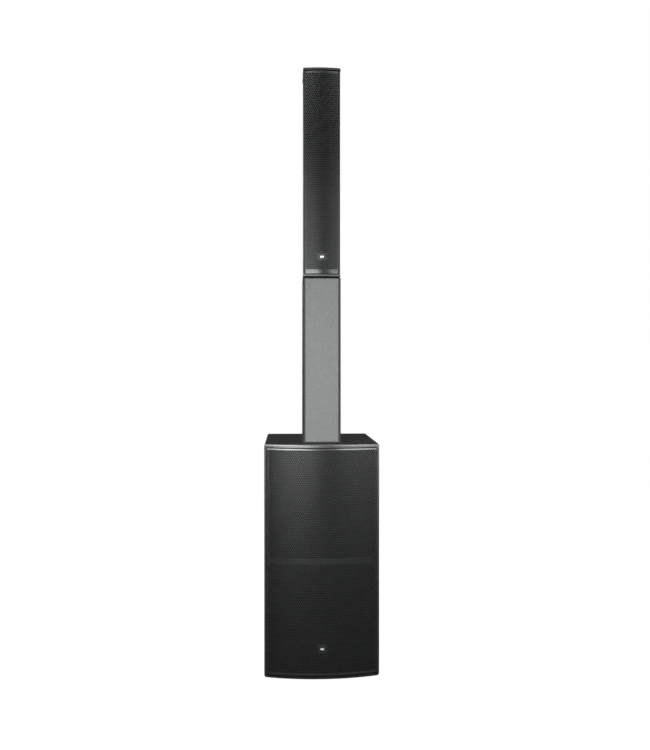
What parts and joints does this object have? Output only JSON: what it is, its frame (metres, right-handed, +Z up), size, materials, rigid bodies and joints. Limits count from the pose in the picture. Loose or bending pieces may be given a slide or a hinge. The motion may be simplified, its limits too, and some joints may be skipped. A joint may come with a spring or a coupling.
{
  "type": "column loudspeaker",
  "caption": "Portable column PA speaker: bowed-grille bass cabinet on the floor, plug-in spacer column and a slim line-array cabinet on top.",
  "frame": {"origin": "on the floor, at the middle of the footprint's bounding box", "axes": "+Z up, grilles face -Y, +X to the right of someone facing the grilles"},
  "size_m": [0.375, 0.478, 1.9945],
  "materials": {
    "cabinet_paint": "plywood under fine-textured black paint",
    "inner_paint": "plywood rolled matt black",
    "grille_coat": "black satin powder coat on perforated steel",
    "grille_foam": "open-cell black foam",
    "badge": "blank silver badge on a dark plate",
    "rubber": "matt black rubber",
    "black_plastic": "moulded black plastic, fine grain",
    "cast_alloy": "cast alloy, black lacquer",
    "plated_steel": "zinc-plated steel",
    "ferrite": "ground ferrite",
    "roll_cloth": "doped cloth",
    "cone_paper": "black pulp paper",
    "copper_wire": "enamelled copper winding on a brown former",
    "contact_brass": "machined brass contacts",
    "pressed_steel": "pressed steel, black lacquer",
    "plate_paint": "aluminium plate, fine black powder coat",
    "heat_sink_finish": "black anodised",
    "control_plastic": "satin black plastic",
    "circuit_board": "green board with black parts",
    "lead_jacket": "black cable jacket",
    "column_paint": "extruded aluminium, black powder coat",
    "grained_grey": "light grey grained coat"
  },
  "bodies": {
    "cabinet": {"amplifier_board": "circuit_board", "amplifier_plate": "plate_paint", "bottom_panel": "cabinet_paint", "cabinet_badge": "badge", "cabinet_foam": "grille_foam", "cabinet_grille": "grille_coat", "column_socket": "black_plastic", "heat_sink": "heat_sink_finish", "line_sockets": "black_plastic", "lower_baffle": "inner_paint", "lower_basket": "cast_alloy", "mains_inlet": "black_plastic", "middle_shelf": "inner_paint", "plate_screws": "plated_steel", "port_tubes": "black_plastic", "rear_panel": "cabinet_paint", "rubber_feet": "rubber", "side_handles": "black_plastic", "side_panel_left": "cabinet_paint", "side_panel_right": "cabinet_paint", "socket_pins": "contact_brass", "speaker_leads": "lead_jacket", "top_panel": "cabinet_paint", "upper_baffle": "inner_paint", "upper_basket": "cast_alloy", "woofer_magnets": "ferrite", "woofer_motor_steel": "plated_steel", "woofer_screws": "plated_steel", "woofer_spiders": "roll_cloth", "woofer_surrounds": "roll_cloth"},
    "upper_piston": {"upper_cone": "cone_paper", "upper_dust_cap": "cone_paper", "upper_voice_coil": "copper_wire"},
    "lower_piston": {"lower_cone": "cone_paper", "lower_dust_cap": "cone_paper", "lower_voice_coil": "copper_wire"},
    "rocker": {"power_rocker": "control_plastic"},
    "left_latch_tab": {"left_latch": "control_plastic"},
    "right_latch_tab": {"right_latch": "control_plastic"},
    "left_level": {"left_knob": "control_plastic"},
    "right_level": {"right_knob": "control_plastic"},
    "bass_level": {"bass_knob": "control_plastic"},
    "mode_key": {"mode_button": "control_plastic"},
    "spacer": {"spacer_conductors": "contact_brass", "spacer_foot": "black_plastic", "spacer_front_panel": "grained_grey", "spacer_housing": "column_paint", "spacer_top_cap": "black_plastic"},
    "array_pistons": {"array_cones": "cone_paper"},
    "line_array": {"array_badge": "badge", "array_baffle": "inner_paint", "array_baskets": "pressed_steel", "array_contacts": "contact_brass", "array_foam": "grille_foam", "array_foot": "black_plastic", "array_grille": "grille_coat", "array_housing": "column_paint", "array_magnets": "plated_steel", "array_surrounds": "roll_cloth", "array_top_cap": "black_plastic"}
  },
  "joints": [
    {"name": "spacer_lift", "type": "slide", "parent": "cabinet", "child": "spacer", "axis": [0, 0, 1], "range_m": [0, 0.12]},
    {"name": "array_lift", "type": "slide", "parent": "spacer", "child": "line_array", "axis": [0, 0, 1], "range_m": [0, 0.12]},
    {"name": "upper_woofer_travel", "type": "slide", "parent": "cabinet", "child": "upper_piston", "axis": [0, -1, 0], "range_m": [-0.007, 0.007], "stiffness_N_per_m": 4500},
    {"name": "lower_woofer_travel", "type": "slide", "parent": "cabinet", "child": "lower_piston", "axis": [0, -1, 0], "range_m": [-0.007, 0.007], "stiffness_N_per_m": 4500},
    {"name": "array_driver_travel", "type": "slide", "parent": "line_array", "child": "array_pistons", "axis": [0, -1, 0], "range_m": [-0.002, 0.002], "stiffness_N_per_m": 3000},
    {"name": "rocker_tip", "type": "hinge", "parent": "cabinet", "child": "rocker", "pos_m": [0.088, 0.2225, 0.512], "axis": [1, 0, 0], "range_deg": [0, 16]},
    {"name": "left_latch_press", "type": "slide", "parent": "cabinet", "child": "left_latch_tab", "axis": [0, -1, 0], "range_m": [0, 0.0015], "stiffness_N_per_m": 300},
    {"name": "right_latch_press", "type": "slide", "parent": "cabinet", "child": "right_latch_tab", "axis": [0, -1, 0], "range_m": [0, 0.0015], "stiffness_N_per_m": 300},
    {"name": "mode_press", "type": "slide", "parent": "cabinet", "child": "mode_key", "axis": [0, -1, 0], "range_m": [0, 0.002], "stiffness_N_per_m": 300},
    {"name": "left_turn", "type": "hinge", "parent": "cabinet", "child": "left_level", "pos_m": [-0.078, 0.23, 0.548], "axis": [0, -1, 0], "range_deg": [-150, 150]},
    {"name": "right_turn", "type": "hinge", "parent": "cabinet", "child": "right_level", "pos_m": [-0.034, 0.23, 0.548], "axis": [0, -1, 0], "range_deg": [-150, 150]},
    {"name": "bass_turn", "type": "hinge", "parent": "cabinet", "child": "bass_level", "pos_m": [0.01, 0.23, 0.548], "axis": [0, -1, 0], "range_deg": [-150, 150]}
  ],
  "couplings": [
    {"joint": "lower_woofer_travel", "follows": "upper_woofer_travel", "ratio": 1}
  ]
}
